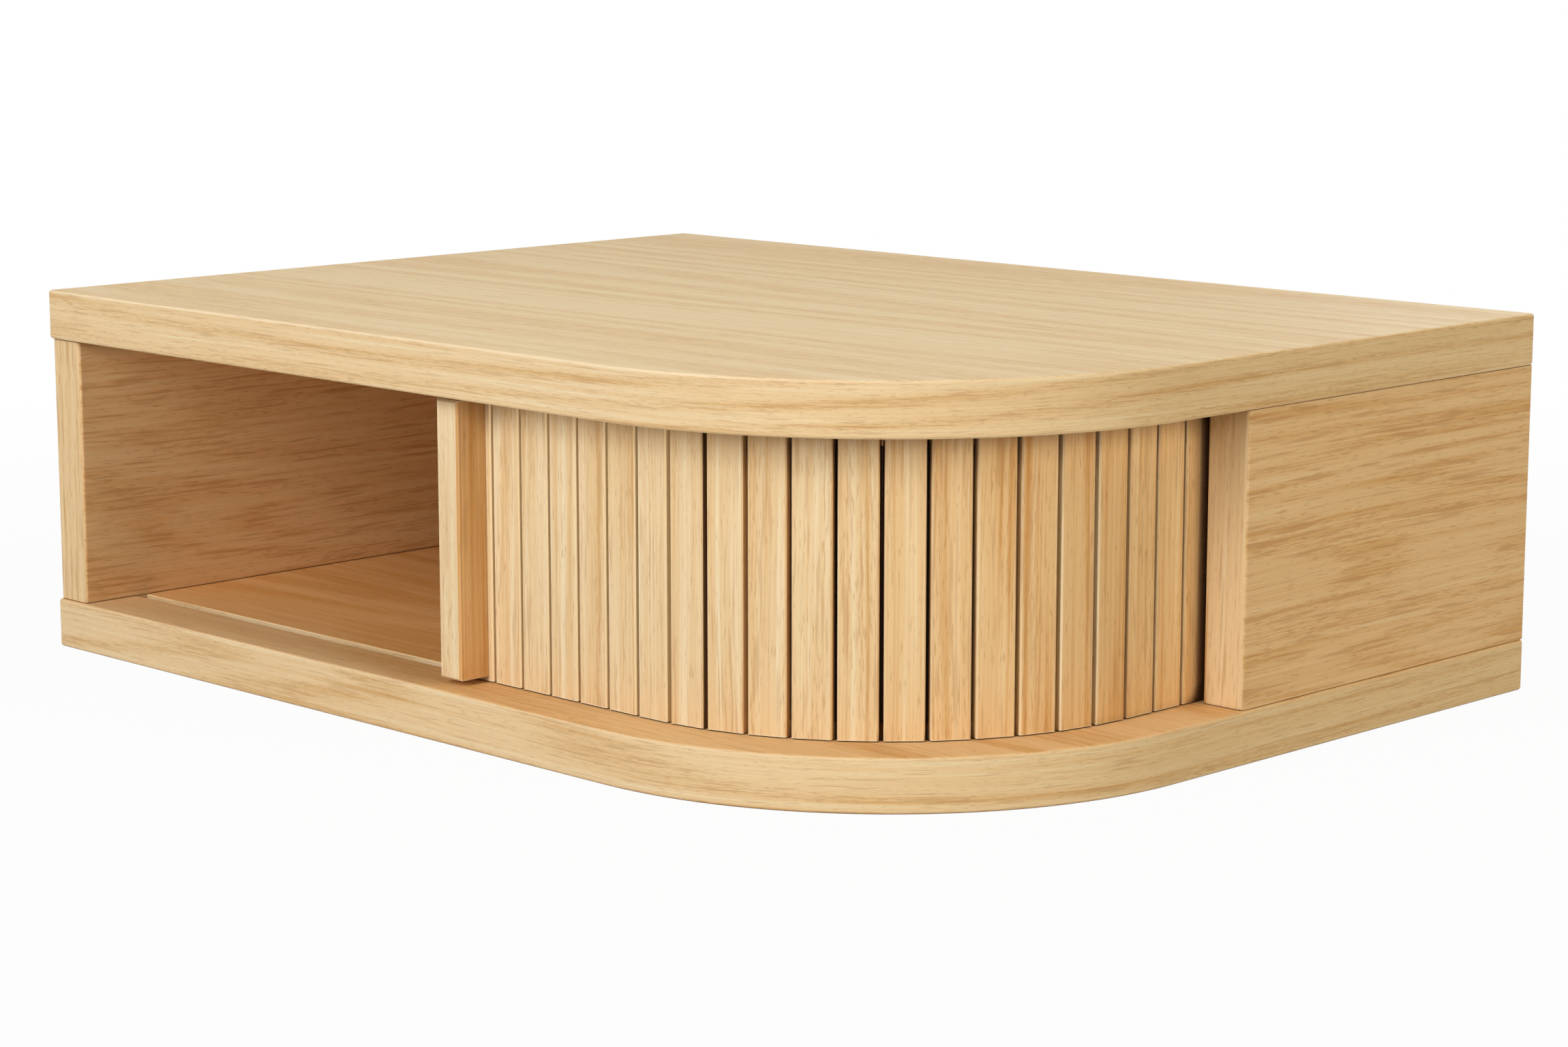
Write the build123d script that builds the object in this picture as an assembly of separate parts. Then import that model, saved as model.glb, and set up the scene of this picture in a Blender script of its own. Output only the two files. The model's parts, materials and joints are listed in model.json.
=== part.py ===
from build123d import *
import math
import os

# Low wall-hung bedside table with a tambour door. The door is a curtain of upright slats that runs
# in grooves along the front, round the large front right corner, down the right side behind the
# side panel, and round the back corner. Millimetres. The origin is the centre of the footprint on
# the underside, +X points right along the front, +Y to the back and +Z up.

# ---- the case ----
WIDTH = 480.0
DEPTH = 360.0
BOARD = 20.0                  # thickness of the top and bottom panels
CLEAR_HEIGHT = 109.0          # height between the top and bottom panels
CORNER_RADIUS = 141.5         # front right corner of the top and bottom panels
SMALL_CORNER = 2.5            # the other three corners
EDGE_ROUND = 1.2              # rounding along the edges of the top and bottom panels
SIDE_BOARD = 18.0             # thickness of the side panels
SIDE_INSET = 1.0              # side panels stand this far inside the top's edge
LEFT_FRONT_INSET = 1.5
RIGHT_PANEL_LENGTH = 179.0    # the right panel closes only the rear of the side
SIDE_EDGE_ROUND = 1.5
BACK_BOARD = 12.0
REBATE = 9.0                  # the back panel reaches this far into each side panel

# ---- the curtain ----
SLAT_SETBACK = 22.2           # from the case's outline to the slats' faces
SLAT_WIDTH = 14.3
SLAT_PITCH = 15.6
FACE_PLY = 4.3
CANVAS = 0.5
RUNNING_PLY = 4.4
SLAT_CHAMFER = 0.5
FACE_END_GAP = 0.4            # face ply to the top and bottom panels
GROOVE_DEPTH = 8.0
GROOVE_PLAY = 0.5             # each side of the running ply
FLOOR_PLAY = 0.3              # running ply to the floor of the lower groove
ROOF_PLAY = 0.9               # running ply to the roof of the upper groove
BACK_RUN_GAP = 3.0            # slats' faces to the back panel
CORNER_TURN = 119.3           # radius of the slats' faces round the front and back corners
DOOR_OPENING = 219.8          # left panel to the leading slat, as the door stands
TAIL_COVER = 20.0             # curtain left behind the right panel when the door is shut
CANVAS_END_GAP = 6.0
CANVAS_IN_KERF = 4.0

# ---- the pull ----
PULL_WIDTH = 11.8
PULL_STAND = 13.7
PULL_END_GAP = 2.25
PULL_CHAMFER = 0.8
PULL_SCREW_END = 22.0         # pull's end to the screw's axis
PULL_SCREW_RADIUS = 2.0
PULL_SCREW_BITE = 9.0         # length of the screw inside the pull
PULL_HEAD_RADIUS = 3.6
PULL_HEAD_DEPTH = 2.4

# ---- the liner ----
LINER = 6.0
LINER_GAP = 3.0               # slats' backs to the liner
LINER_LEAD = 16.0             # the side liner starts this far ahead of the right panel

# ---- fixings ----
HOLE_CLEARANCE = 0.1          # radial, dowels and screws in their holes
DOWEL_RADIUS = 4.0
DOWEL_IN_BOARD = 12.0
DOWEL_IN_SIDE = 18.0
DOWEL_END_GAP = 0.5
DOWEL_INSET = 30.0            # side panel's end to the first dowel
LEFT_DOWELS = 3
RIGHT_DOWELS = 2
BACK_SCREW_RADIUS = 1.75
BACK_SCREW_LENGTH = 30.0
BACK_SCREW_HEAD_RADIUS = 3.6
BACK_SCREW_HEAD_DEPTH = 2.2
BACK_SCREWS = 3               # on each side
BACK_SCREW_INSET = 26.0
WALL_HOLE_RADIUS = 2.75
WALL_HEAD_RADIUS = 6.0
WALL_HEAD_DEPTH = 4.0
WALL_HOLE_INSET = 39.75       # from each end of the flat back liner
WALL_HOLE_SPACING_Z = 64.0
ACCESS_RADIUS = 7.0
PLUG_FLANGE_RADIUS = 9.5
PLUG_FLANGE = 1.2
PLUG_STEM = 4.0

# ---- levels and faces worked out from the sizes above ----
ROOF = BOARD + CLEAR_HEIGHT
LEFT_OUTER = -WIDTH / 2 + SIDE_INSET
LEFT_INNER = LEFT_OUTER + SIDE_BOARD
RIGHT_OUTER = WIDTH / 2 - SIDE_INSET
RIGHT_INNER = RIGHT_OUTER - SIDE_BOARD
FRONT = -DEPTH / 2
BACK = DEPTH / 2
RIGHT_PANEL_FRONT = BACK - RIGHT_PANEL_LENGTH
BACK_PANEL_FACE = BACK - BACK_BOARD

# The track is the curtain's middle line, where the canvas lies and the slats turn on each other.
HALF_FACE = CANVAS / 2 + FACE_PLY
HALF_RUNNING = CANVAS / 2 + RUNNING_PLY
FRONT_LINE = FRONT + SLAT_SETBACK + HALF_FACE
RIGHT_LINE = WIDTH / 2 - SLAT_SETBACK - HALF_FACE
BACK_LINE = BACK_PANEL_FACE - BACK_RUN_GAP - HALF_FACE
TRACK_RADIUS = CORNER_TURN - HALF_FACE
ARC_X = RIGHT_LINE - TRACK_RADIUS
FRONT_ARC_Y = FRONT_LINE + TRACK_RADIUS
BACK_ARC_Y = BACK_LINE - TRACK_RADIUS
ARC_LENGTH = TRACK_RADIUS * math.pi / 2
SIDE_RUN = BACK_ARC_Y - FRONT_ARC_Y

LEAD_EDGE = LEFT_INNER + DOOR_OPENING
LEAD_STATION = LEAD_EDGE + SLAT_WIDTH / 2 - ARC_X
SHUT_LENGTH = ARC_X - LEFT_INNER + ARC_LENGTH + RIGHT_PANEL_FRONT - FRONT_ARC_Y + TAIL_COVER
SLAT_COUNT = math.ceil(SHUT_LENGTH / SLAT_PITCH)


def track_point(station):
    """Place on the track, measured along it from the start of the front corner: x, y, heading."""
    if station < 0:
        return ARC_X + station, FRONT_LINE, 0.0
    if station < ARC_LENGTH:
        turn = station / TRACK_RADIUS
        x = ARC_X + TRACK_RADIUS * math.sin(turn)
        return x, FRONT_ARC_Y - TRACK_RADIUS * math.cos(turn), turn
    station -= ARC_LENGTH
    if station < SIDE_RUN:
        return RIGHT_LINE, FRONT_ARC_Y + station, math.pi / 2
    station -= SIDE_RUN
    if station < ARC_LENGTH:
        turn = station / TRACK_RADIUS
        x = ARC_X + TRACK_RADIUS * math.cos(turn)
        return x, BACK_ARC_Y + TRACK_RADIUS * math.sin(turn), math.pi / 2 + turn
    return ARC_X - (station - ARC_LENGTH), BACK_LINE, math.pi


def slat_place(station):
    """Middle and heading of a slat whose two hinge lines both lie on the track."""
    x0, y0, _ = track_point(station - SLAT_PITCH / 2)
    x1, y1, _ = track_point(station + SLAT_PITCH / 2)
    return (x0 + x1) / 2, (y0 + y1) / 2, math.atan2(y1 - y0, x1 - x0)


def block(x0, x1, y0, y1, z0, z1):
    """Box between two corners."""
    size = Box(x1 - x0, y1 - y0, z1 - z0)
    return Pos((x0 + x1) / 2, (y0 + y1) / 2, (z0 + z1) / 2) * size


def upright(sketch, z0, z1):
    """A plan outline raised from z0 to z1."""
    return Pos(0, 0, z0) * extrude(sketch, z1 - z0)


def post(x, y, radius, z0, z1):
    """Upright round rod."""
    return upright(Pos(x, y) * Circle(radius), z0, z1)


def rod_y(x, z, radius, y0, y1):
    """Round rod that lies front to back."""
    return Pos(x, (y0 + y1) / 2, z) * Rot(90, 0, 0) * Cylinder(radius, y1 - y0)


def spread(first, last, count):
    """Evenly spaced values from first to last."""
    step = (last - first) / (count - 1)
    return [first + step * n for n in range(count)]


def track_region(offset):
    """Everything inside the track, grown by offset, from the left panel's inner face."""
    right = RIGHT_LINE + offset
    front = FRONT_LINE - offset
    back = BACK_LINE + offset
    middle = Pos((LEFT_INNER + right) / 2, (front + back) / 2)
    region = middle * Rectangle(right - LEFT_INNER, back - front)
    return fillet(region.vertices().sort_by(Axis.X)[-2:], TRACK_RADIUS + offset)


def case_board():
    """Top or bottom board with its outline and rounded edges, standing on z = 0."""
    outline = Rectangle(WIDTH, DEPTH)
    corners = outline.vertices().sort_by(lambda corner: corner.X - corner.Y)
    outline = fillet(corners[-1], CORNER_RADIUS)
    square = outline.vertices().sort_by(lambda corner: math.hypot(corner.X, corner.Y))[-3:]
    outline = fillet(square, SMALL_CORNER)
    board = extrude(outline, BOARD)
    faces = board.faces().sort_by(Axis.Z)
    return fillet(faces[0].edges() + faces[-1].edges(), EDGE_ROUND)


def groove(z0, z1):
    """The slot that the running plies' ends follow."""
    outer = track_region(GROOVE_PLAY - CANVAS / 2)
    return upright(outer - track_region(-HALF_RUNNING - GROOVE_PLAY), z0, z1)


def dowel_places(x, front, count):
    """Plan positions of one side panel's dowels."""
    return [(x, y) for y in spread(front + DOWEL_INSET, BACK - DOWEL_INSET, count)]


LEFT_DOWEL_PLACES = dowel_places(
    (LEFT_OUTER + LEFT_INNER) / 2, FRONT + LEFT_FRONT_INSET, LEFT_DOWELS)
RIGHT_DOWEL_PLACES = dowel_places(
    (RIGHT_OUTER + RIGHT_INNER) / 2, RIGHT_PANEL_FRONT, RIGHT_DOWELS)


def dowels(places, growth=0.0):
    """Dowels at both ends of a side panel. Growth turns them into their holes."""
    radius = DOWEL_RADIUS + growth
    end = DOWEL_END_GAP if growth else 0.0
    rods = []
    for x, y in places:
        rods.append(post(x, y, radius, BOARD - DOWEL_IN_BOARD - end, BOARD + DOWEL_IN_SIDE + end))
        rods.append(post(x, y, radius, ROOF - DOWEL_IN_SIDE - end, ROOF + DOWEL_IN_BOARD + end))
    return rods


def bottom_panel():
    board = case_board() - groove(BOARD - GROOVE_DEPTH, BOARD)
    return board - dowels(LEFT_DOWEL_PLACES + RIGHT_DOWEL_PLACES, HOLE_CLEARANCE)


def top_panel():
    board = Pos(0, 0, ROOF) * case_board() - groove(ROOF, ROOF + GROOVE_DEPTH)
    return board - dowels(LEFT_DOWEL_PLACES + RIGHT_DOWEL_PLACES, HOLE_CLEARANCE)


BACK_SCREW_X = (LEFT_INNER - REBATE / 2, RIGHT_INNER + REBATE / 2)
BACK_SCREW_Z = spread(BOARD + BACK_SCREW_INSET, ROOF - BACK_SCREW_INSET, BACK_SCREWS)


def back_screws(growth=0.0):
    """Countersunk screws through the back panel's ends. Growth turns them into their holes."""
    screws = []
    tip = BACK - BACK_SCREW_LENGTH - growth
    head = BACK - BACK_SCREW_HEAD_DEPTH - growth
    for x in BACK_SCREW_X:
        for z in BACK_SCREW_Z:
            shank = rod_y(x, z, BACK_SCREW_RADIUS + growth, tip, BACK)
            screws.append(shank + rod_y(x, z, BACK_SCREW_HEAD_RADIUS + growth, head, BACK))
    return screws


def side_panel(x0, x1, front, rebate_x0, rebate_x1, dowel_places_here):
    """Upright side board: rounded front edges, a rebate for the back panel, holes for fixings."""
    board = block(x0, x1, front, BACK, BOARD, ROOF)
    front_edges = board.edges().filter_by(Axis.Z).sort_by(Axis.Y)[:2]
    board = fillet(front_edges, SIDE_EDGE_ROUND)
    board -= block(rebate_x0, rebate_x1, BACK_PANEL_FACE, BACK, BOARD, ROOF)
    board -= dowels(dowel_places_here, HOLE_CLEARANCE)
    return board - back_screws(HOLE_CLEARANCE)


def left_side_panel():
    front = FRONT + LEFT_FRONT_INSET
    rebate = LEFT_INNER - REBATE
    return side_panel(LEFT_OUTER, LEFT_INNER, front, rebate, LEFT_INNER, LEFT_DOWEL_PLACES)


def right_side_panel():
    front = RIGHT_PANEL_FRONT
    rebate = RIGHT_INNER + REBATE
    return side_panel(RIGHT_INNER, RIGHT_OUTER, front, RIGHT_INNER, rebate, RIGHT_DOWEL_PLACES)


MIDDLE_Z = BOARD + CLEAR_HEIGHT / 2
WALL_HOLE_X = (LEFT_INNER + WALL_HOLE_INSET, ARC_X - WALL_HOLE_INSET)
WALL_HOLE_Z = (MIDDLE_Z - WALL_HOLE_SPACING_Z / 2, MIDDLE_Z + WALL_HOLE_SPACING_Z / 2)
WALL_HOLES = [(x, z) for x in WALL_HOLE_X for z in WALL_HOLE_Z]


def back_panel():
    """Back board with four wall holes, counterbored inside so that screw heads clear the curtain."""
    board = block(LEFT_INNER - REBATE, RIGHT_INNER + REBATE, BACK_PANEL_FACE, BACK, BOARD, ROOF)
    board -= back_screws(HOLE_CLEARANCE)
    for x, z in WALL_HOLES:
        board -= rod_y(x, z, WALL_HOLE_RADIUS, BACK_PANEL_FACE, BACK)
        board -= rod_y(x, z, WALL_HEAD_RADIUS, BACK_PANEL_FACE, BACK_PANEL_FACE + WALL_HEAD_DEPTH)
    return board


LINER_OUTER = HALF_RUNNING + LINER_GAP
LINER_INNER = LINER_OUTER + LINER
LINER_BACK_FACE = BACK_LINE - LINER_OUTER
LINER_FRONT_FACE = BACK_LINE - LINER_INNER


def liner_part(x0, x1, y0, y1):
    """The stretch of the bent inner wall that lies in a window of the plan."""
    wall = upright(track_region(-LINER_OUTER) - track_region(-LINER_INNER), BOARD, ROOF)
    return wall & block(x0, x1, y0, y1, BOARD, ROOF)


def side_liner():
    return liner_part(ARC_X, WIDTH / 2, RIGHT_PANEL_FRONT - LINER_LEAD, BACK_ARC_Y)


def corner_liner():
    return liner_part(ARC_X, WIDTH / 2, BACK_ARC_Y, BACK)


def back_liner():
    """Flat rear stretch, with a hole in line with each wall hole for the screwdriver."""
    wall = liner_part(LEFT_INNER, ARC_X, BACK_ARC_Y, BACK)
    for x, z in WALL_HOLES:
        wall -= rod_y(x, z, ACCESS_RADIUS, LINER_FRONT_FACE, LINER_BACK_FACE)
    return wall


def access_plugs():
    """Cover plugs pushed into the back liner's access holes from inside the case."""
    plugs = []
    face = LINER_FRONT_FACE
    for x, z in WALL_HOLES:
        flange = rod_y(x, z, PLUG_FLANGE_RADIUS, face - PLUG_FLANGE, face)
        stem = rod_y(x, z, ACCESS_RADIUS - HOLE_CLEARANCE, face, face + PLUG_STEM)
        plugs.append(flange + stem)
    return plugs


def stand_at(place, solid):
    """Move a solid made at the origin, facing -Y, to its place on the track."""
    x, y, heading = place
    return Pos(x, y, 0) * Rot(0, 0, math.degrees(heading)) * solid


FACE_Z = (BOARD + FACE_END_GAP, ROOF - FACE_END_GAP)
RUNNING_Z = (BOARD - GROOVE_DEPTH + FLOOR_PLAY, ROOF + GROOVE_DEPTH - ROOF_PLAY)


def slat_plies():
    """Face ply and the longer running ply behind the canvas, made at the origin."""
    face = Pos(0, -CANVAS / 2 - FACE_PLY / 2) * Rectangle(SLAT_WIDTH, FACE_PLY)
    face = chamfer(face.vertices().sort_by(Axis.Y)[:2], SLAT_CHAMFER)
    running = Pos(0, CANVAS / 2 + RUNNING_PLY / 2) * Rectangle(SLAT_WIDTH, RUNNING_PLY)
    return [upright(face, *FACE_Z), upright(running, *RUNNING_Z)]


PULL_Z = (BOARD + PULL_END_GAP, ROOF - PULL_END_GAP)
PULL_MIDDLE = -SLAT_WIDTH / 2 + PULL_WIDTH / 2
PULL_SCREW_Z = (PULL_Z[0] + PULL_SCREW_END, PULL_Z[1] - PULL_SCREW_END)


def pull_screws(growth=0.0):
    """Screws from the back of the leading slat into the pull, made at the origin."""
    screws = []
    tip = -HALF_FACE - PULL_SCREW_BITE - growth
    head = HALF_RUNNING - PULL_HEAD_DEPTH - growth
    for z in PULL_SCREW_Z:
        shank = rod_y(PULL_MIDDLE, z, PULL_SCREW_RADIUS + growth, tip, HALF_RUNNING)
        cap = rod_y(PULL_MIDDLE, z, PULL_HEAD_RADIUS + growth, head, HALF_RUNNING)
        screws.append(shank + cap)
    return screws


def leading_slat():
    """First slat: one solid stick, with a kerf in its rear edge that holds the canvas's end."""
    face, running = slat_plies()
    edge = SLAT_WIDTH / 2
    core = block(-edge, edge, -CANVAS / 2, CANVAS / 2, *FACE_Z)
    kerf = block(edge - CANVAS_IN_KERF, edge, -CANVAS / 2, CANVAS / 2, *FACE_Z)
    return face + running + core - kerf - pull_screws(HOLE_CLEARANCE)


def door_pull():
    """Square bar that stands on the leading slat's face, flush with its front edge."""
    half = PULL_WIDTH / 2
    bar = block(PULL_MIDDLE - half, PULL_MIDDLE + half, -HALF_FACE - PULL_STAND, -HALF_FACE, *PULL_Z)
    outer = bar.faces().sort_by(Axis.Y)[0]
    return chamfer(outer.edges(), PULL_CHAMFER) - pull_screws(HOLE_CLEARANCE)


def tambour_canvas(stations):
    """Cloth band between the plies: flat under each slat and bent only on the hinge lines."""
    places = [slat_place(station) for station in stations]
    x, y, heading = places[0]
    start = SLAT_WIDTH / 2 - CANVAS_IN_KERF
    line = [(x + start * math.cos(heading), y + start * math.sin(heading), heading, 1.0)]
    for station, before, after in zip(stations, places, places[1:]):
        x, y, _ = track_point(station + SLAT_PITCH / 2)
        turn = after[2] - before[2]
        line.append((x, y, before[2] + turn / 2, 1 / math.cos(turn / 2)))
    x, y, heading = places[-1]
    end = SLAT_WIDTH / 2
    line.append((x + end * math.cos(heading), y + end * math.sin(heading), heading, 1.0))
    sides = []
    for side in (-1, 1):
        half = side * CANVAS / 2
        sides.append([(x - half * k * math.sin(a), y + half * k * math.cos(a)) for x, y, a, k in line])
    band = make_face(Polyline(*sides[0], *reversed(sides[1]), close=True))
    return upright(band, BOARD + CANVAS_END_GAP, ROOF - CANVAS_END_GAP)


def save(name, pieces):
    """Write one sub-part, a solid or a group of separate solids, to its own file."""
    solids = []
    for piece in pieces if isinstance(pieces, list) else [pieces]:
        solids += piece.solids()
    export_step(solids[0] if len(solids) == 1 else Compound(solids), f"parts/{name}.step")


os.makedirs("parts", exist_ok=True)

save("top_panel", top_panel())
save("bottom_panel", bottom_panel())
save("left_side_panel", left_side_panel())
save("right_side_panel", right_side_panel())
save("back_panel", back_panel())
save("side_liner", side_liner())
save("corner_liner", corner_liner())
save("back_liner", back_liner())
save("access_plugs", access_plugs())
save("left_panel_dowels", dowels(LEFT_DOWEL_PLACES))
save("right_panel_dowels", dowels(RIGHT_DOWEL_PLACES))
save("back_panel_screws", back_screws())

slat_stations = [LEAD_STATION + SLAT_PITCH * n for n in range(SLAT_COUNT)]
lead_place = slat_place(LEAD_STATION)
save("tambour_canvas", tambour_canvas(slat_stations))
save("leading_slat", stand_at(lead_place, leading_slat()))
save("door_pull", stand_at(lead_place, door_pull()))
save("pull_screws", [stand_at(lead_place, screw) for screw in pull_screws()])
for number, station in enumerate(slat_stations[1:], start=2):
    save(f"slat_{number:02d}", [stand_at(slat_place(station), ply) for ply in slat_plies()])
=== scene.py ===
import json
import math

import bmesh
import bpy
from mathutils import Matrix, Vector

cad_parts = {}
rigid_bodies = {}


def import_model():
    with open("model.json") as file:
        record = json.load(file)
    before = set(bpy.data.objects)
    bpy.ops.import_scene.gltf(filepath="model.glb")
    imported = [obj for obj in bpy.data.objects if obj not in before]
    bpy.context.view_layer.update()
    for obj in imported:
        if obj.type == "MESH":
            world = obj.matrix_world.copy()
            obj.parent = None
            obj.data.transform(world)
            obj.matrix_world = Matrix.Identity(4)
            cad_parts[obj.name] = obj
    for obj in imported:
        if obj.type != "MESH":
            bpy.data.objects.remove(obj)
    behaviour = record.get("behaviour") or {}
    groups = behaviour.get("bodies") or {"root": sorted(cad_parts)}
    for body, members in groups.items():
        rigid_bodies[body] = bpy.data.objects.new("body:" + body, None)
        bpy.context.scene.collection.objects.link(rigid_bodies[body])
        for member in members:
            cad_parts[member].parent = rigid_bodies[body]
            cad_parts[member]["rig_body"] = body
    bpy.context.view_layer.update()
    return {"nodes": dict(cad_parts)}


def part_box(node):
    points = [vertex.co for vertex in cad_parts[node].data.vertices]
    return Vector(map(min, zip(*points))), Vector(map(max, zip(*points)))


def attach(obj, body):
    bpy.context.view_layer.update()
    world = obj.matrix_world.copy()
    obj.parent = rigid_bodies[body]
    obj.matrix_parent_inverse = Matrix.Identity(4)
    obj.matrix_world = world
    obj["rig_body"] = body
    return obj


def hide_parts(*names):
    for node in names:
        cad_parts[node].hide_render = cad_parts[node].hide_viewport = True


# Looks of a low oak bedside table with a tambour door. Metres, in the part's own frame: the origin
# is under the middle of the case, +X points right along the front, +Y to the back and +Z up.
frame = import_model()
nodes = frame["nodes"]
MM = 0.001

# ---- camera and light ----
CAMERA_PLACE = (1.00069, -0.99423, 0.30598)
CAMERA_YAW = 44.954
CAMERA_PITCH = 9.931          # degrees down
LENS = 81.547
SENSOR = 36.0
WORLD_LIGHT = 0.04
WORLD_TINT = (1.0, 0.92, 0.82)
FLOOR_SIZE = 12.0
FLOOR_GREY = 0.60
FLOOR_WHITE_NEAR = 0.955      # how white the floor is to a camera ray, close to the object
FLOOR_WHITE_REACH = (0.32, 1.0)  # between these distances it grows to plain white
LAMP_TARGET = Vector((0.0, 0.0, 0.08))
WHITE = (1.0, 1.0, 1.0)

# ---- oak, linear colours, with painted light and shade ----
OAK_CREAM = (0.84, 0.70, 0.46, 1.0)
OAK_STRAW = (0.77, 0.56, 0.31, 1.0)
OAK_HONEY = (0.62, 0.355, 0.125, 1.0)
OAK_PORE = (0.42, 0.20, 0.065, 1.0)
# pale edges, from wear and a painted highlight
OAK_WEAR_AND_HIGHLIGHT = (0.97, 0.86, 0.66, 1.0)
# painted light on the sides of the slats
OAK_SIDE_LIGHT = (0.97, 0.76, 0.45, 1.0)
OAK_SHADE_TINT = (1.17, 0.92, 0.67, 1.0)    # painted shade: multiplies the colour of faces that light reaches less, to make them warmer and redder
# painted shade in the gaps between slats
SLAT_GAP_SHADE = (0.06, 0.022, 0.008, 1.0)
# painted shade in joints, seams and grooves, and under the top
SHADE_BROWN = (0.22, 0.09, 0.03, 1.0)
BEECH_PALE = (0.70, 0.47, 0.27, 1.0)
BEECH_FLECK = (0.45, 0.24, 0.11, 1.0)
CANVAS_THREAD = (0.040, 0.024, 0.014, 1.0)
CANVAS_GAP = (0.010, 0.006, 0.004, 1.0)
ZINC = (0.62, 0.63, 0.64, 1.0)
ZINC_DULL = (0.40, 0.40, 0.39, 1.0)

# ---- where the oak changes, and where light and shade are painted on it ----
ARC_X, ARC_Y = 98.5 * MM, -38.5 * MM      # middle of the rounded corner
CURTAIN_DEPTH = (110.0 * MM, 119.0 * MM)  # from there to the curtain's inner and outer face
LIT_SIDES = (ARC_X + 24.0 * MM, ARC_X + 19.0 * MM)  # left of here the slats' sides are painted pale, as lit
SIDE_RUN = (0.97, 0.995)      # lean of faces that count as part of the curtain's side run
EDGE_GRAIN = (1.4, 2.0)       # on a board's edge the grain is shorter and finer than on its face
FACING = 0.7                  # a face looks along an axis where its normal leans this far
SHADE_REACH = 14.0 * MM       # boards and slats are darker this near to the underside of the top
SHADE_HEIGHTS = (108.0 * MM, 126.0 * MM)  # where that darkening begins, and where it is full
SLOT_REACH = 8.0 * MM         # painted shade: the curtain is darker where it slides in this near to a board
EDGE_WEAR_AND_HIGHLIGHT = 0.9 * MM          # how far from an edge the finish is worn thin, with a painted highlight
WORN_AND_HIGHLIT = 0.85                   # how much paler wear and the painted highlight make it there at most
GAP_SHADE_DEPTH = 0.95                # how dark the painted shade in a tight joint is

# ---- grain, in cycles a metre along it and across it ----
SWAY = (2.6, 5.0)
FIBRE = (6.0, 1000.0)
STREAK = (2.0, 260.0)
PATCH = (2.0, 22.0)
PORE = (150.0, 1700.0)
DASH = (32.0, 650.0)
WEAR_PATCH = (14.0, 30.0)
BEECH_FLECKS = (260.0, 1500.0)
BEECH_TONE = (20.0, 300.0)
ZINC_CLOUD = (300.0, 300.0)
ZINC_TURNED = (4000.0, 900.0)
CANVAS_THREADS = 1400.0
CANVAS_FLUFF = 900.0
SWAY_WIDTH = 10.0 * MM        # how far the oak's grain wanders from side to side
GRAIN_SHIFT = 31.0            # sets the grain of one board apart from the next
VESSELS = (0.58, 0.74)        # noise from the lower value up shows as pores, full at the upper one
RING_MIDDLE = 0.4             # growth rings are lighter below this and darker above it

# ---- small parts ----
CANVAS = 0.5 * MM
KERF = 4.0 * MM               # canvas held inside the leading slat
STRIP_PLAY = 0.03 * MM        # a strip of canvas stops this short of where the next one starts
CANVAS_BULGE = 0.25 * MM
STRIP_STEPS = 12              # faces along a strip, and up it
WELD = 0.001 * MM
SHARP = math.radians(35)
EASED_EDGE = 0.5 * MM


class Graph:
    """Short calls for wiring the nodes of one material or world."""

    def __init__(self, owner):
        owner.use_nodes = True
        self.owner = owner
        self.tree = owner.node_tree

    def put(self, socket, value):
        if isinstance(value, bpy.types.NodeSocket):
            self.tree.links.new(value, socket)
        else:
            socket.default_value = value

    def node(self, kind, values=(), out=0, **settings):
        """A new node's output. Values fill its inputs in order, or by name in a dict."""
        node = self.tree.nodes.new("ShaderNode" + kind)
        for key, value in settings.items():
            setattr(node, key, value)
        pairs = values.items() if isinstance(values, dict) else enumerate(values)
        for key, value in pairs:
            self.put(node.inputs[key], value)
        return node.outputs[out]

    def math(self, operation, *values):
        return self.node("Math", values, operation=operation)

    def noise(self, vector, detail=2.0, roughness=0.5, out=0):
        values = {"Vector": vector, "Scale": 1.0, "Detail": detail, "Roughness": roughness}
        return self.node("TexNoise", values, out)

    def remap(self, value, low, high, to_low=0.0, to_high=1.0):
        limits = (value, low, high, to_low, to_high)
        return self.node("MapRange", limits, interpolation_type="SMOOTHSTEP")

    def blend(self, factor, first, second, blend_type="MIX"):
        """Mix two colours: inputs 6 and 7 of the Mix node, and its output 2."""
        values = {0: factor, 6: first, 7: second}
        return self.node("Mix", values, 2, data_type="RGBA", blend_type=blend_type)

    def choose(self, factor, first, second):
        """Mix two vectors: inputs 4 and 5 of the Mix node, and its output 1."""
        return self.node("Mix", {0: factor, 4: first, 5: second}, 1, data_type="VECTOR")

    def squeeze(self, vector, along, across):
        """Grain coordinates at so many cycles a metre along the grain and across it."""
        return self.node("VectorMath", (vector, (along, across, across)), operation="MULTIPLY")

    def split(self, coordinates):
        """The x, y and z of the Object or Normal coordinates."""
        vector = self.node("TexCoord", out=coordinates)
        return tuple(self.node("SeparateXYZ", (vector,)).node.outputs)

    def axes(self):
        """The surface's place, as x, y and z."""
        return self.split("Object")

    def lean(self, axis):
        """How far a surface looks along an axis, either way: 0 to 1."""
        return self.math("ABSOLUTE", self.split("Normal")[axis])

    def open_sky(self, reach, samples):
        """1 where nothing is in front of a surface within reach, less in corners and gaps."""
        return self.node("AmbientOcclusion", {"Distance": reach}, "AO", samples=samples)

    def faces_towards(self, axis):
        """1 on faces that look along an axis, either way, and 0 on the others."""
        return self.math("GREATER_THAN", self.lean(axis), FACING)

    def finish(self, **values):
        """Set the surface shader's inputs and return the material."""
        shader = self.tree.nodes["Principled BSDF"]
        for key, value in values.items():
            self.put(shader.inputs[key.replace("_", " ")], value)
        return self.owner


# ---- which way the grain runs: each gives (along, across, depth) ----

def upright_grain(g):
    x, y, z = g.axes()
    return g.node("CombineXYZ", (z, x, y))


def lengthwise_grain(g):
    x, y, z = g.axes()
    return g.node("CombineXYZ", (x, z, y))


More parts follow.
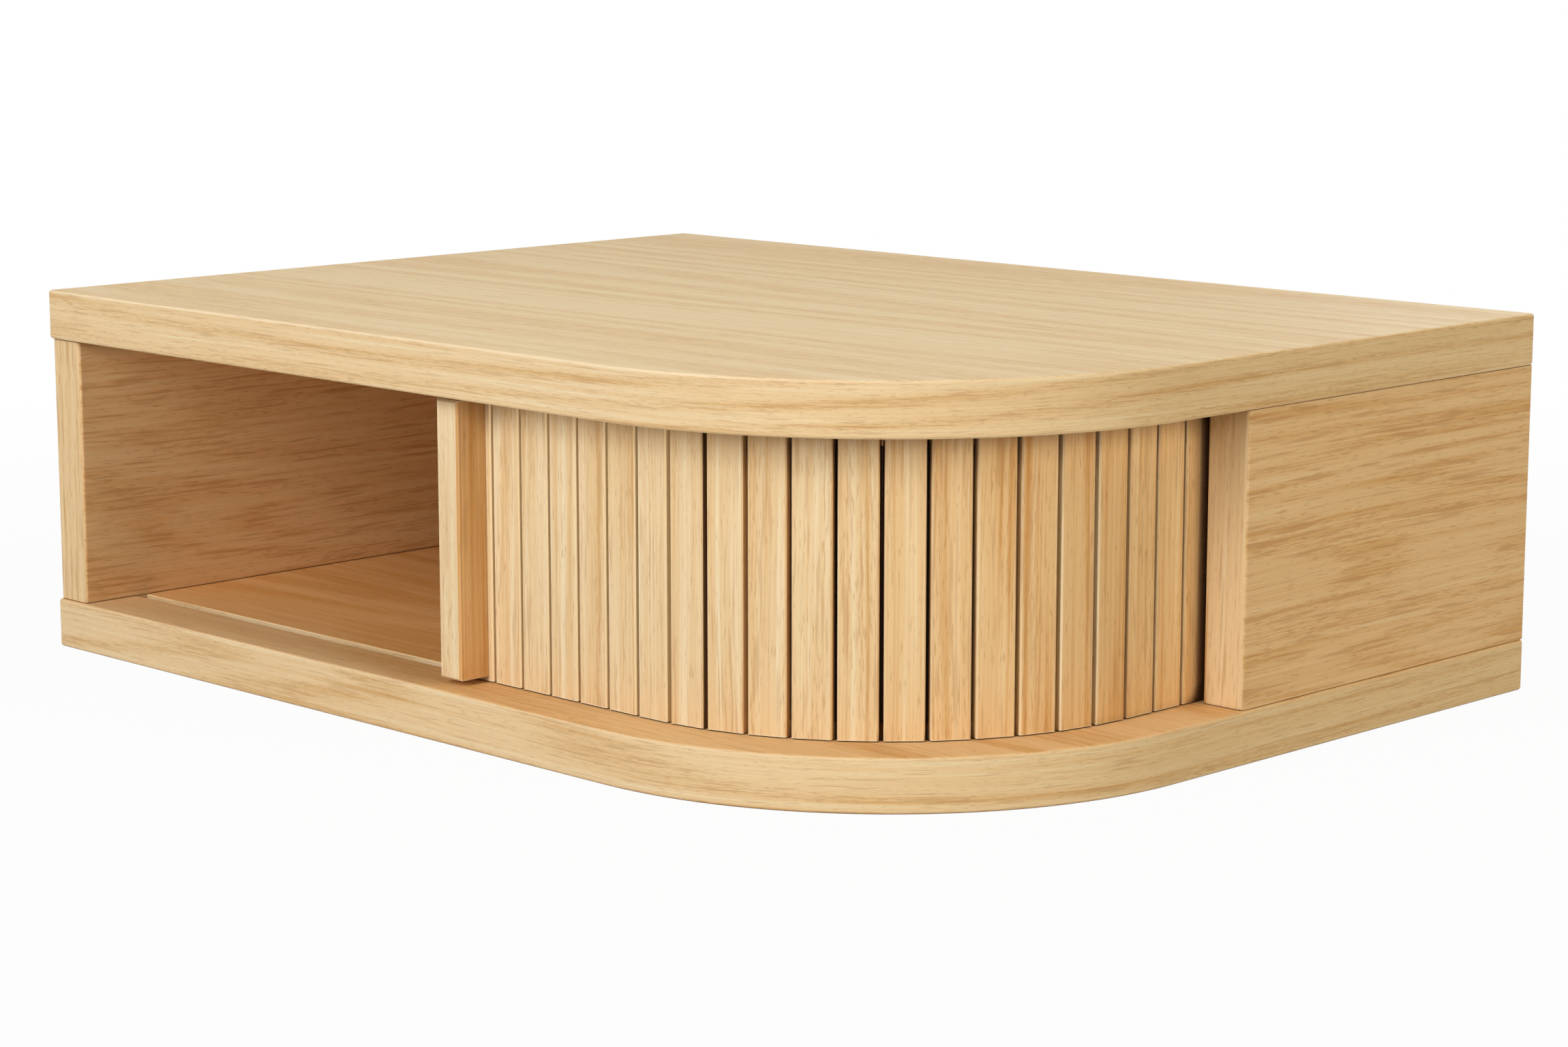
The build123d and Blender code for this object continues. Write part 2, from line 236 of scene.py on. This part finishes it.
def case_grain(g):
    """Along X on the flat faces, and along the edge on the edges and round the corner."""
    x, y, z = g.axes()
    flat = g.node("CombineXYZ", (x, y, z))
    shorter, finer = EDGE_GRAIN
    round_edge = g.math("MULTIPLY", g.math("ADD", x, y), shorter)
    edge = g.node("CombineXYZ", (round_edge, g.math("MULTIPLY", z, finer), 3.0))
    return g.choose(g.faces_towards(2), edge, flat)


def side_grain(g):
    """Front to back on the faces, and upright on the end faces."""
    x, y, z = g.axes()
    face = g.node("CombineXYZ", (y, z, x))
    end = g.node("CombineXYZ", (z, x, y))
    return g.choose(g.faces_towards(1), face, end)


def worn_and_highlit_edges(g, grain):
    """Wear with a painted highlight where an edge turns sharply, in patches."""
    soft = g.node("Bevel", {"Radius": EDGE_WEAR_AND_HIGHLIGHT}, samples=4)
    flat = g.node("NewGeometry", out="Normal")
    turn = g.math("SUBTRACT", 1.0, g.node("VectorMath", (soft, flat), 1, operation="DOT_PRODUCT"))
    patches = g.remap(g.noise(g.squeeze(grain, *WEAR_PATCH)), 0.35, 0.65, 0.35, 1.0)
    edge = g.remap(turn, 0.02, 0.20, 0.0, WORN_AND_HIGHLIT)
    return g.math("MULTIPLY", edge, patches)


def level_faces(g):
    return g.faces_towards(2)


def side_faces(g):
    return g.faces_towards(0)


def right_hand_faces(g):
    return g.math("GREATER_THAN", g.split("Normal")[0], FACING)


def front_back_faces(g):
    return g.faces_towards(1)


def turned_aside(g):
    """Grows from 0 on faces that look to the front to 1 on faces that look to the side."""
    return g.remap(g.lean(0), 0.55, 1.0)


def inside_case(g):
    """The level faces of a case board behind the curtain, and half as much in front of it."""
    x, y, z = g.axes()
    right = g.math("MAXIMUM", g.math("SUBTRACT", x, ARC_X), 0.0)
    front = g.math("MAXIMUM", g.math("SUBTRACT", ARC_Y, y), 0.0)
    square = g.math("MULTIPLY_ADD", right, right, g.math("MULTIPLY", front, front))
    depth = g.remap(g.math("SQRT", square), *CURTAIN_DEPTH, 1.0, 0.5)
    return g.math("MULTIPLY", g.faces_towards(2), depth)


def front_edge_highlight(g, amount):
    """Painted highlight on the rounded upper edges of a case board, where they look to the front.
    """
    right, back, up = g.split("Normal")
    round_highlight = g.math("MULTIPLY", g.remap(up, 0.10, 0.40), g.remap(up, 0.98, 0.85))
    return g.math("MULTIPLY", round_highlight, g.remap(back, -0.30, -0.75, 0.0, amount))


def painted_gap_shade(g, reach, opening):
    """Painted shade where a surface faces another within reach: gaps between slats, seams and
    grooves.
    """
    return g.remap(g.open_sky(reach, 10), *opening, GAP_SHADE_DEPTH, 0.0)


def slot_shade(g):
    """Painted shade on the part of the curtain's side run that lies close behind another piece."""
    hidden = g.remap(g.open_sky(SLOT_REACH, 8), 0.35, 0.58, 0.97, 0.0)
    return g.math("MULTIPLY", g.remap(g.lean(0), *SIDE_RUN), hidden)


def painted_lit_sides(g):
    """Painted light on the sides of the slats on the straight front run, which are made pale."""
    straight_run = g.remap(g.axes()[0], *LIT_SIDES, 0.0, 0.9)
    return g.math("MULTIPLY", g.faces_towards(0), straight_run)


def roof_shade(g, amount):
    """Painted shade where a surface meets the underside of the top, out of reach of light."""
    high_up = g.remap(g.axes()[2], *SHADE_HEIGHTS)
    hidden = g.remap(g.open_sky(SHADE_REACH, 8), 0.50, 0.95, amount, 0.0)
    return g.math("MULTIPLY", high_up, hidden)


def oak(name, grain_of, board=None, figure=(1.5, 14.0), rings=8.0, bands=0.3, streaks=1.0,
        patches=0.3, dashes=0.2, fine=1.0, honey=0.45, spread=0.0, light_and_shade_tint=(level_faces, 0.0, 0.0),
        calm=0.0, gap_shade=(2.5 * MM, (0.15, 0.80), SHADE_BROWN), shade=0.55, round_highlight=None, curtain=False):
    """Matt lacquered oak: growth rings, streaks, fibres, pores, worn edges with a painted
    highlight, painted shade in joints.

    board: a number from 0 to 1 that picks the grain, or None for another grain on each object.
    figure, rings, bands: scale, number and strength of the growth rings.
    streaks, patches, dashes, fine: strength of the finer figure, and how much finer it is.
    honey, spread: how warm the colour is, and how much objects differ in that.
    light_and_shade_tint: painted light and shade by which way a face looks: which faces, and how
    much warmer (paler where negative) and redder they are painted.
    calm: how much plainer the figure is on those faces.
    gap_shade, shade: painted shade in joints and gaps, and under the top.
    round_highlight: how pale a painted highlight makes the rounded upper edges, in place of worn
    edges.
    curtain: whether it is a slat."""
    g = Graph(bpy.data.materials.new(name))
    random = g.node("ObjectInfo", out="Random") if board is None else board
    shift = g.math("MULTIPLY", random, GRAIN_SHIFT)
    shift = g.node("CombineXYZ", (shift, shift, shift))
    grain = g.node("VectorMath", (grain_of(g), shift), operation="ADD")
    sway = g.noise(g.squeeze(grain, *SWAY), out=1)
    sway = g.node("VectorMath", (sway, (0.5, 0.5, 0.5)), operation="SUBTRACT")
    sway = g.node("VectorMath", (sway, (0.0, SWAY_WIDTH, SWAY_WIDTH)), operation="MULTIPLY")
    grain = g.node("VectorMath", (grain, sway), operation="ADD")

    field = g.noise(g.squeeze(grain, *figure), detail=1.0)
    ring = g.remap(g.math("SINE", g.math("MULTIPLY", field, rings * math.tau)), -1.0, 1.0)
    ring = g.math("POWER", ring, 2.0)
    fibre = g.noise(g.squeeze(grain, FIBRE[0], FIBRE[1] * fine), detail=2.0)
    streak = g.squeeze(grain, STREAK[0] * fine, STREAK[1] * fine)
    streak = g.noise(streak, detail=3.0, roughness=0.6)
    patch = g.noise(g.squeeze(grain, *PATCH))
    pore = g.noise(g.squeeze(grain, *PORE))
    pore = g.remap(g.math("MULTIPLY_ADD", ring, 0.06, pore), *VESSELS)
    dash = g.noise(g.squeeze(grain, *DASH), detail=1.0)
    dash = g.remap(g.math("MULTIPLY_ADD", ring, 0.07, dash), *VESSELS)

    # painted light and shade: faces made warmer or paler, and redder, by which way they look
    tinted_faces, warmer, redder = light_and_shade_tint
    tinted_faces = tinted_faces(g)
    liveliness = g.math("MULTIPLY_ADD", tinted_faces, -calm, 1.0)
    figured = g.math("MULTIPLY", g.math("SUBTRACT", ring, RING_MIDDLE), bands)
    parts = ((fibre, 0.8 * streaks), (streak, 1.3 * streaks), (patch, patches))
    for part, weight in parts:
        figured = g.math("MULTIPLY_ADD", g.math("SUBTRACT", part, 0.5), weight, figured)
    warmth = g.math("MULTIPLY_ADD", figured, liveliness, honey)
    warmth = g.math("MULTIPLY_ADD", g.math("SUBTRACT", random, 0.5), spread, warmth)
    warmth = g.math("MULTIPLY_ADD", tinted_faces, warmer, warmth)
    colour = g.blend(g.remap(warmth, 0.0, 0.5), OAK_CREAM, OAK_STRAW)
    colour = g.blend(g.remap(warmth, 0.45, 1.0), colour, OAK_HONEY)
    pores = g.math("MAXIMUM", g.math("MULTIPLY", pore, 0.4), g.math("MULTIPLY", dash, dashes))
    colour = g.blend(g.math("MULTIPLY", pores, liveliness), colour, OAK_PORE)
    # painted shade: redder on faces that light reaches less
    colour = g.blend(g.math("MULTIPLY", tinted_faces, redder), colour, OAK_SHADE_TINT, "MULTIPLY")
    # edges made paler by wear with a painted highlight, or by a painted highlight on the rounded
    # front edges
    wear_and_highlight = front_edge_highlight(g, round_highlight) if round_highlight else worn_and_highlit_edges(g, grain)
    colour = g.blend(wear_and_highlight, colour, OAK_WEAR_AND_HIGHLIGHT)
    if shade:
        colour = g.blend(roof_shade(g, shade), colour, SHADE_BROWN)
    # painted shade in joints, seams, grooves and gaps
    reach, opening, dark = gap_shade
    gap_shading = painted_gap_shade(g, reach, opening)
    # slats: painted light on the sides of the straight run, painted shade where the side run
    # slides behind a board, and less painted shade in the gaps beside the lit sides
    if curtain:
        sides = painted_lit_sides(g)
        colour = g.blend(sides, g.blend(slot_shade(g), colour, SLAT_GAP_SHADE), OAK_SIDE_LIGHT)
        gap_shading = g.math("MULTIPLY", gap_shading, g.math("SUBTRACT", 1.0, sides))
    colour = g.blend(gap_shading, colour, dark)

    height = g.math("MULTIPLY_ADD", pore, -1.0, g.math("MULTIPLY", fibre, 0.35))
    normal = g.node("Bump", {"Strength": 0.5, "Distance": 0.08 * MM, "Height": height})
    gloss = g.math("MULTIPLY_ADD", pore, 0.15, g.remap(fibre, 0.3, 0.7, 0.50, 0.60))
    return g.finish(Base_Color=colour, Roughness=gloss, Normal=normal, Specular_IOR_Level=0.2)


def beech(name):
    """Raw beech with its short dark flecks."""
    g = Graph(bpy.data.materials.new(name))
    grain = upright_grain(g)
    fleck = g.remap(g.noise(g.squeeze(grain, *BEECH_FLECKS)), 0.58, 0.70)
    tone = g.remap(g.noise(g.squeeze(grain, *BEECH_TONE)), 0.3, 0.7, 0.0, 0.35)
    colour = g.blend(g.math("MAXIMUM", fleck, tone), BEECH_PALE, BEECH_FLECK)
    normal = g.node("Bump", {"Strength": 0.3, "Distance": 0.05 * MM, "Height": fleck})
    rough = g.remap(tone, 0.0, 0.35, 0.6, 0.75)
    return g.finish(Base_Color=colour, Roughness=rough, Normal=normal, Specular_IOR_Level=0.3)


def canvas(name):
    """Dark cotton duck, plain weave."""
    g = Graph(bpy.data.materials.new(name))
    x, y, z = g.axes()
    warp = g.math("SINE", g.math("MULTIPLY", x, CANVAS_THREADS * math.tau))
    weft = g.math("SINE", g.math("MULTIPLY", z, CANVAS_THREADS * math.tau))
    weave = g.remap(g.math("MULTIPLY", warp, weft), -1.0, 1.0)
    fluff = (g.math("MULTIPLY", x, CANVAS_FLUFF), 0.0, g.math("MULTIPLY", z, CANVAS_FLUFF))
    fluff = g.noise(g.node("CombineXYZ", fluff))
    thread = g.math("MULTIPLY", weave, g.remap(fluff, 0.3, 0.7, 0.5, 1.0))
    colour = g.blend(thread, CANVAS_GAP, CANVAS_THREAD)
    normal = g.node("Bump", {"Strength": 0.7, "Distance": 0.15 * MM, "Height": thread})
    rough = g.remap(thread, 0.0, 1.0, 0.95, 0.8)
    return g.finish(Base_Color=colour, Roughness=rough, Normal=normal, Specular_IOR_Level=0.2)


def zinc(name):
    """Zinc-plated steel, slightly clouded."""
    g = Graph(bpy.data.materials.new(name))
    place = g.node("TexCoord", out="Object")
    cloud = g.noise(g.squeeze(place, *ZINC_CLOUD), detail=4.0)
    lathe = g.noise(g.squeeze(place, *ZINC_TURNED))
    colour = g.blend(g.remap(cloud, 0.35, 0.7), ZINC, ZINC_DULL)
    normal = g.node("Bump", {"Strength": 0.2, "Distance": 0.02 * MM, "Height": lathe})
    rough = g.remap(cloud, 0.3, 0.7, 0.26, 0.42)
    return g.finish(Base_Color=colour, Roughness=rough, Normal=normal, Metallic=1.0)


# ---- meshes ----

def solids_of(name):
    """Lowest and highest corner of each separate solid in a CAD node, in order of place."""
    mesh = bmesh.new()
    mesh.from_mesh(nodes[name].data)
    bmesh.ops.remove_doubles(mesh, verts=mesh.verts, dist=WELD)
    waiting = set(mesh.verts)
    boxes = []
    while waiting:
        edge = [waiting.pop()]
        found = []
        while edge:
            vert = edge.pop()
            found.append(vert.co.copy())
            fresh = [e.other_vert(vert) for e in vert.link_edges]
            fresh = {v for v in fresh if v in waiting}
            waiting -= fresh
            edge.extend(fresh)
        low = Vector([min(point[n] for point in found) for n in range(3)])
        high = Vector([max(point[n] for point in found) for n in range(3)])
        boxes.append((low, high))
    mesh.free()
    return sorted(boxes, key=lambda box: tuple(round(value, 6) for value in box[0]))


def turned(profile, sides, shape=None):
    """Rings of points up the Z axis from (height, radius) pairs, which shape may change."""
    rings = []
    for height, radius in profile:
        ring = []
        for n in range(sides):
            turn = math.tau * n / sides
            r, z = shape(turn, radius, height) if shape else (radius, height)
            ring.append(Vector((r * math.cos(turn), r * math.sin(turn), z)))
        rings.append(ring)
    return rings


def add_rings(mesh, rings, place):
    """Skin a closed stack of rings into the mesh, moved by a matrix."""
    rows = [[mesh.verts.new(place @ point) for point in ring] for ring in rings]
    count = len(rows[0])
    for lower, upper in zip(rows, rows[1:]):
        for n in range(count):
            after = (n + 1) % count
            mesh.faces.new((lower[n], lower[after], upper[after], upper[n]))
    mesh.faces.new(reversed(rows[0]))
    mesh.faces.new(rows[-1])


def piece(name, mesh, material, body, replaced, place=Matrix.Identity(4)):
    """An object made of a finished mesh, tied to its body, that hides the node it stands for."""
    data = bpy.data.meshes.new(name)
    mesh.normal_update()
    mesh.to_mesh(data)
    mesh.free()
    data.materials.append(material)
    obj = bpy.data.objects.new(name, data)
    bpy.context.scene.collection.objects.link(obj)
    data.set_sharp_from_angle(angle=SHARP)
    for face in data.polygons:
        face.use_smooth = True
    obj.matrix_world = place
    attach(obj, body)
    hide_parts(replaced)
    return obj


def fluted_dowels(node, material):
    """Dowels with chamfered ends and glue flutes."""
    chamfer, flute, flutes = 0.8 * MM, 0.28 * MM, 18
    mesh = bmesh.new()
    for low, high in solids_of(node):
        length, radius = high.z - low.z, (high.x - low.x) / 2
        profile = [(0.0, radius - chamfer), (chamfer, radius), (length - chamfer, radius)]
        profile.append((length, radius - chamfer))

        def fluting(turn, r, z):
            return r - flute * max(0.0, math.cos(flutes * turn)) ** 2, z

        middle = (low + high) / 2
        place = Matrix.Translation((middle.x, middle.y, low.z))
        add_rings(mesh, turned(profile, flutes * 6, fluting), place)
    return piece(node + "_fluted", mesh, material, "cabinet", node)


def screw_rings(length, head_radius, head_depth, shank):
    """Countersunk screw with a helical thread and a cross recess, tip at z = 0."""
    sides, pitch, thread, tip = 48, 1.9 * MM, 0.42 * MM, 3.5 * MM
    arm, arm_half, recess = 0.56 * head_radius, 0.13 * head_radius, 0.5 * head_depth
    neck = length - head_depth

    def cut(turn, r, z):
        if z < neck - pitch:
            phase = (z / pitch - turn / math.tau) % 1.0
            ridge = max(0.0, 1.0 - abs(phase - 0.5) / 0.28)
            core = (shank - thread) * min(1.0, 0.25 + z / tip)
            return core + thread * ridge * min(1.0, z / tip), z
        if z >= length and r < arm:
            x, y = abs(r * math.cos(turn)), abs(r * math.sin(turn))
            if min(x, y) < arm_half:
                return r, z - recess * (1.0 - 0.6 * r / arm)
        return r, z

    steps = int((neck - pitch) / (pitch / 8))
    profile = [((neck - pitch) * n / steps, shank) for n in range(steps)]
    profile += [(neck - pitch, shank * 0.85), (neck, shank * 0.9)]
    profile += [(length - 0.15 * MM, head_radius), (length, head_radius - 0.1 * MM)]
    profile += [(length, arm * k) for k in (1.25, 1.01, 0.99, 0.8, 0.6, 0.4, 0.2, 0.05)]
    return turned(profile, sides, cut)


def screws(node, body, material, head_radius, head_depth, shank):
    """Screws that lie along Y, with their heads to the back."""
    mesh = bmesh.new()
    for low, high in solids_of(node):
        middle = (low + high) / 2
        place = Matrix.Translation((middle.x, low.y, middle.z))
        place = place @ Matrix.Rotation(-math.pi / 2, 4, "X")
        add_rings(mesh, screw_rings(high.y - low.y, head_radius, head_depth, shank), place)
    return piece(node + "_threaded", mesh, material, body, node)


def turned_plugs(node, material):
    """Push-in cover plugs: ribbed stem, rounded rim and a slightly dished face."""
    mesh = bmesh.new()
    for low, high in solids_of(node):
        middle = (low + high) / 2
        radius, length = (high.x - low.x) / 2, high.y - low.y
        flange, stem = 1.2 * MM, radius - 2.6 * MM
        back = length - flange
        profile = [(0.0, stem - 0.5 * MM), (0.5 * MM, stem - 0.1 * MM)]
        for rib in (1.1, 2.0, 2.9):
            profile.append((rib * MM, stem - 0.25 * MM))
            profile += [((rib + 0.2) * MM, stem), ((rib + 0.5) * MM, stem)]
        profile += [(back - 0.2 * MM, stem - 0.25 * MM), (back, stem - 0.1 * MM)]
        profile.append((back, radius - 0.1 * MM))
        rim = 0.9 * MM
        for n in range(7):
            bend = math.pi / 2 * n / 6
            height = length - rim + rim * math.sin(bend)
            profile.append((height, radius - rim + rim * math.cos(bend)))
        profile += [(length - 0.15 * MM, radius * 0.72), (length - 0.28 * MM, radius * 0.4)]
        profile.append((length - 0.3 * MM, radius * 0.05))
        place = Matrix.Translation((middle.x, high.y, middle.z))
        place = place @ Matrix.Rotation(math.pi / 2, 4, "X")
        add_rings(mesh, turned(profile, 72), place)
    return piece(node + "_turned", mesh, material, "cabinet", node)


def running_ply(name):
    """Middle, outward direction, width and thickness of a slat's running ply, at its foot."""
    points = [vertex.co for vertex in nodes[name].data.vertices]
    foot = min(point.z for point in points)
    corners = {(round(p.x, 7), round(p.y, 7)) for p in points if p.z < foot + 0.01 * MM}
    corners = [Vector(corner) for corner in sorted(corners)]
    middle = sum(corners, Vector((0.0, 0.0))) / len(corners)
    sides = sorted((corner - corners[0]).length for corner in corners[1:])
    plan = [p.xy for p in points]
    low = Vector((min(p.x for p in plan), min(p.y for p in plan)))
    high = Vector((max(p.x for p in plan), max(p.y for p in plan)))
    lean = (low + high) / 2 - middle
    across = min((corner - corners[0] for corner in corners[1:]), key=lambda side: side.length)
    outward = across.normalized() * math.copysign(1.0, across.dot(lean))
    return middle, outward, sides[1], sides[0]


def canvas_strips(material):
    """The curtain's canvas in strips from hinge line to hinge line, one behind each slat.

    The first reaches behind the leading slat and the second, which always move together."""
    node = "tambour_canvas"
    low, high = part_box(node)
    slats = sorted(name for name in nodes if name.startswith("slat_"))
    pitch = (running_ply("slat_03")[0] - running_ply("slat_02")[0]).length
    for name in ["leading_slat"] + slats[1:]:
        middle, outward, width, thickness = running_ply(name)
        end = pitch / 2 - STRIP_PLAY
        start, behind = -end, [name]
        if name == "leading_slat":
            start, end, behind = width / 2 - KERF, pitch + end, [name, slats[0]]
        elif name == slats[-1]:
            end = width / 2
        edges = {pitch * n + side * width / 2 for n in (0, 1) for side in (-1, 1)}
        stations = {x for x in edges if start < x < end}
        stations |= {start + (end - start) * n / STRIP_STEPS for n in range(STRIP_STEPS + 1)}
        outer, inner = [], []
        for x in sorted(stations):
            past_slat = max(0.0, abs(x - pitch * round(x / pitch)) - width / 2)
            loose = CANVAS_BULGE * math.sin(math.pi * past_slat / (pitch - width))
            outer.append(Vector((x, -CANVAS / 2 - loose, 0.0)))
            inner.append(Vector((x, CANVAS / 2 - loose, 0.0)))
        mesh = bmesh.new()
        outline = outer + inner[::-1]
        tall = high.z - low.z
        heights = [low.z + tall * n / STRIP_STEPS for n in range(STRIP_STEPS + 1)]
        rings = [[point + Vector((0, 0, z)) for point in outline] for z in heights]
        add_rings(mesh, rings, Matrix.Identity(4))
        heading = math.atan2(outward.x, -outward.y)
        spot = middle + outward * (thickness + CANVAS) / 2
        place = Matrix.Translation((spot.x, spot.y, 0.0)) @ Matrix.Rotation(heading, 4, "Z")
        body = nodes[name]["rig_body"]
        strip = piece("canvas_behind_" + name, mesh, material, body, node, place)


def ease(name, width):
    """Break a CAD node's sharp edges."""
    obj = nodes[name]
    weld = obj.modifiers.new("weld", "WELD")
    weld.merge_threshold = WELD
    flat = obj.modifiers.new("flat", "DECIMATE")
    flat.decimate_type = "DISSOLVE"
    flat.angle_limit = math.radians(0.2)
    bevel = obj.modifiers.new("ease", "BEVEL")
    bevel.width = width
    bevel.segments = 2
    bevel.angle_limit = SHARP
    bevel.use_clamp_overlap = False
    bevel.harden_normals = True


def dress(name, material):
    """Give a carried-over CAD node its finish."""
    for slot in nodes[name].material_slots:
        slot.material = material


# ---- the object ----
case_board = {"figure": (0.8, 12.0), "rings": 9.0, "bands": 0.22, "streaks": 0.7,
              "patches": 0.15, "dashes": 0.35, "honey": 0.47, "calm": 0.4, "shade": 0.0}
side_board = {"figure": (1.2, 18.0), "rings": 18.0, "bands": 0.15, "streaks": 0.7,
              "patches": 0.08, "dashes": 0.40, "fine": 1.7}
narrow_stick = {"figure": (1.6, 24.0), "rings": 6.0}
# the facing tints below are painted light on the top and painted shade on the other faces; the
# round highlights are painted highlights
top_oak = oak("oak_top_board", case_grain, board=0.077007, **case_board,
              light_and_shade_tint=(level_faces, -0.17, 0.0), round_highlight=0.35)
bottom_oak = oak("oak_bottom_board", case_grain, board=0.143798, **case_board,
                 light_and_shade_tint=(inside_case, 0.31, 0.7), gap_shade=(1.2 * MM, (0.10, 0.60), SHADE_BROWN), round_highlight=0.12)
left_oak = oak("oak_left_board", side_grain, board=0.240757, **side_board, honey=0.52,
               light_and_shade_tint=(right_hand_faces, -0.28, 0.80))
right_oak = oak("oak_right_board", side_grain, board=0.580061, **side_board, honey=0.53,
                light_and_shade_tint=(side_faces, 0.03, 0.20))
back_oak = oak("oak_back_board", lengthwise_grain, board=0.972968, bands=0.25, honey=0.5)
liner_oak = oak("oak_liner_ply", upright_grain, bands=0.25, honey=0.5,
                light_and_shade_tint=(front_back_faces, 0.0, 0.7))
slat_oak = oak("oak_slats", upright_grain, **narrow_stick, bands=0.14, streaks=1.1,
               patches=0.25, dashes=0.32, honey=0.375, spread=0.05,
               light_and_shade_tint=(turned_aside, 0.17, 0.35), gap_shade=(4.0 * MM, (0.02, 0.15), SLAT_GAP_SHADE),
               curtain=True)
pull_oak = oak("oak_pull_bar", upright_grain, board=0.387031, **narrow_stick, bands=0.12,
               streaks=0.8, dashes=0.22, honey=0.26, light_and_shade_tint=(side_faces, 0.52, 0.4))
beech_wood = beech("beech_dowels")
steel = zinc("zinc_plated_steel")
duck = canvas("cotton_duck")

dress("top_panel", top_oak)
dress("bottom_panel", bottom_oak)
dress("left_side_panel", left_oak)
dress("right_side_panel", right_oak)
for name in ("left_side_panel", "right_side_panel", "bottom_panel"):
    ease(name, EASED_EDGE)
dress("back_panel", back_oak)
for name in ("side_liner", "corner_liner", "back_liner"):
    dress(name, liner_oak)
for name in sorted(nodes):
    if name.startswith("slat_") or name == "leading_slat":
        dress(name, slat_oak)
dress("door_pull", pull_oak)

for name in ("left_panel_dowels", "right_panel_dowels"):
    fluted_dowels(name, beech_wood)
screws("back_panel_screws", "cabinet", steel,
       head_radius=3.6 * MM, head_depth=2.2 * MM, shank=1.75 * MM)
screws("pull_screws", "leading_slat_and_pull", steel,
       head_radius=3.6 * MM, head_depth=2.4 * MM, shank=2.0 * MM)
turned_plugs("access_plugs", liner_oak)
canvas_strips(duck)


# ---- floor, light and camera ----

def white_to_camera(g, surface, white, share=1.0):
    """Mix a surface with so much plain white, for what the camera and reflections see."""
    path = g.node("LightPath").node.outputs
    seen = g.math("MAXIMUM", path["Is Camera Ray"], path["Is Glossy Ray"])
    seen = g.math("MAXIMUM", seen, path["Is Transmission Ray"])
    return g.node("MixShader", (g.math("MULTIPLY", seen, share), surface, white))


def make_floor():
    bpy.ops.mesh.primitive_plane_add(size=FLOOR_SIZE, location=(0.0, 0.0, 0.0))
    floor = bpy.context.object
    floor.name = "floor"
    g = Graph(bpy.data.materials.new("pale_floor"))
    grey = (FLOOR_GREY, FLOOR_GREY, FLOOR_GREY, 1.0)
    material = g.finish(Base_Color=grey, Roughness=0.9, Specular_IOR_Level=0.0)
    surface = g.tree.nodes["Principled BSDF"].outputs[0]
    place = g.node("TexCoord", out="Object")
    away = g.node("VectorMath", (place,), "Value", operation="LENGTH")
    share = g.remap(away, *FLOOR_WHITE_REACH, FLOOR_WHITE_NEAR, 1.0)
    mix = white_to_camera(g, surface, g.node("Emission"), share)
    g.put(g.tree.nodes["Material Output"].inputs["Surface"], mix)
    floor.data.materials.append(material)


def make_world():
    world = bpy.data.worlds.new("studio")
    g = Graph(world)
    light = g.tree.nodes["Background"]
    light.inputs["Color"].default_value = (*WORLD_TINT, 1.0)
    light.inputs["Strength"].default_value = WORLD_LIGHT
    white = g.node("Background", {"Color": (*WHITE, 1.0)})
    mix = white_to_camera(g, light.outputs[0], white)
    g.put(g.tree.nodes["World Output"].inputs["Surface"], mix)
    bpy.context.scene.world = world


def softbox(name, place, size, power, tint=WHITE):
    """A rectangular lamp that looks at the middle of the case."""
    lamp = bpy.data.lights.new(name, "AREA")
    lamp.shape = "RECTANGLE"
    lamp.size, lamp.size_y = size
    lamp.energy = power
    lamp.color = tint
    obj = bpy.data.objects.new(name, lamp)
    obj.location = place
    aim = LAMP_TARGET - Vector(place)
    obj.rotation_euler = aim.to_track_quat("-Z", "Y").to_euler()
    bpy.context.scene.collection.objects.link(obj)


def make_camera():
    data = bpy.data.cameras.new("camera")
    data.lens = LENS
    data.sensor_width = SENSOR
    data.sensor_fit = "HORIZONTAL"
    data.clip_start = 0.05
    camera = bpy.data.objects.new("camera", data)
    camera.location = CAMERA_PLACE
    camera.rotation_euler = (math.radians(90.0 - CAMERA_PITCH), 0.0, math.radians(CAMERA_YAW))
    bpy.context.scene.collection.objects.link(camera)
    bpy.context.scene.camera = camera


make_floor()
make_world()
softbox("key", (0.2, -2.1, 0.85), (0.7, 1.2), 24.5)
softbox("high_key", (0.1, -1.8, 1.5), (0.7, 1.2), 13.0, (1.0, 0.98, 0.97))
softbox("corner_fill", (1.7, -1.5, 0.5), (1.0, 1.0), 2.0)
softbox("side", (2.3, 0.2, 0.8), (1.0, 1.0), 20.5, (1.0, 0.89, 0.66))
softbox("overhead", (0.0, 0.3, 2.0), (1.6, 1.6), 15.5, (1.0, 0.95, 0.84))
softbox("back_fill", (-0.8, 2.2, 0.3), (0.8, 0.8), 7.0)
make_camera()
bpy.context.scene.view_settings.view_transform = "Standard"
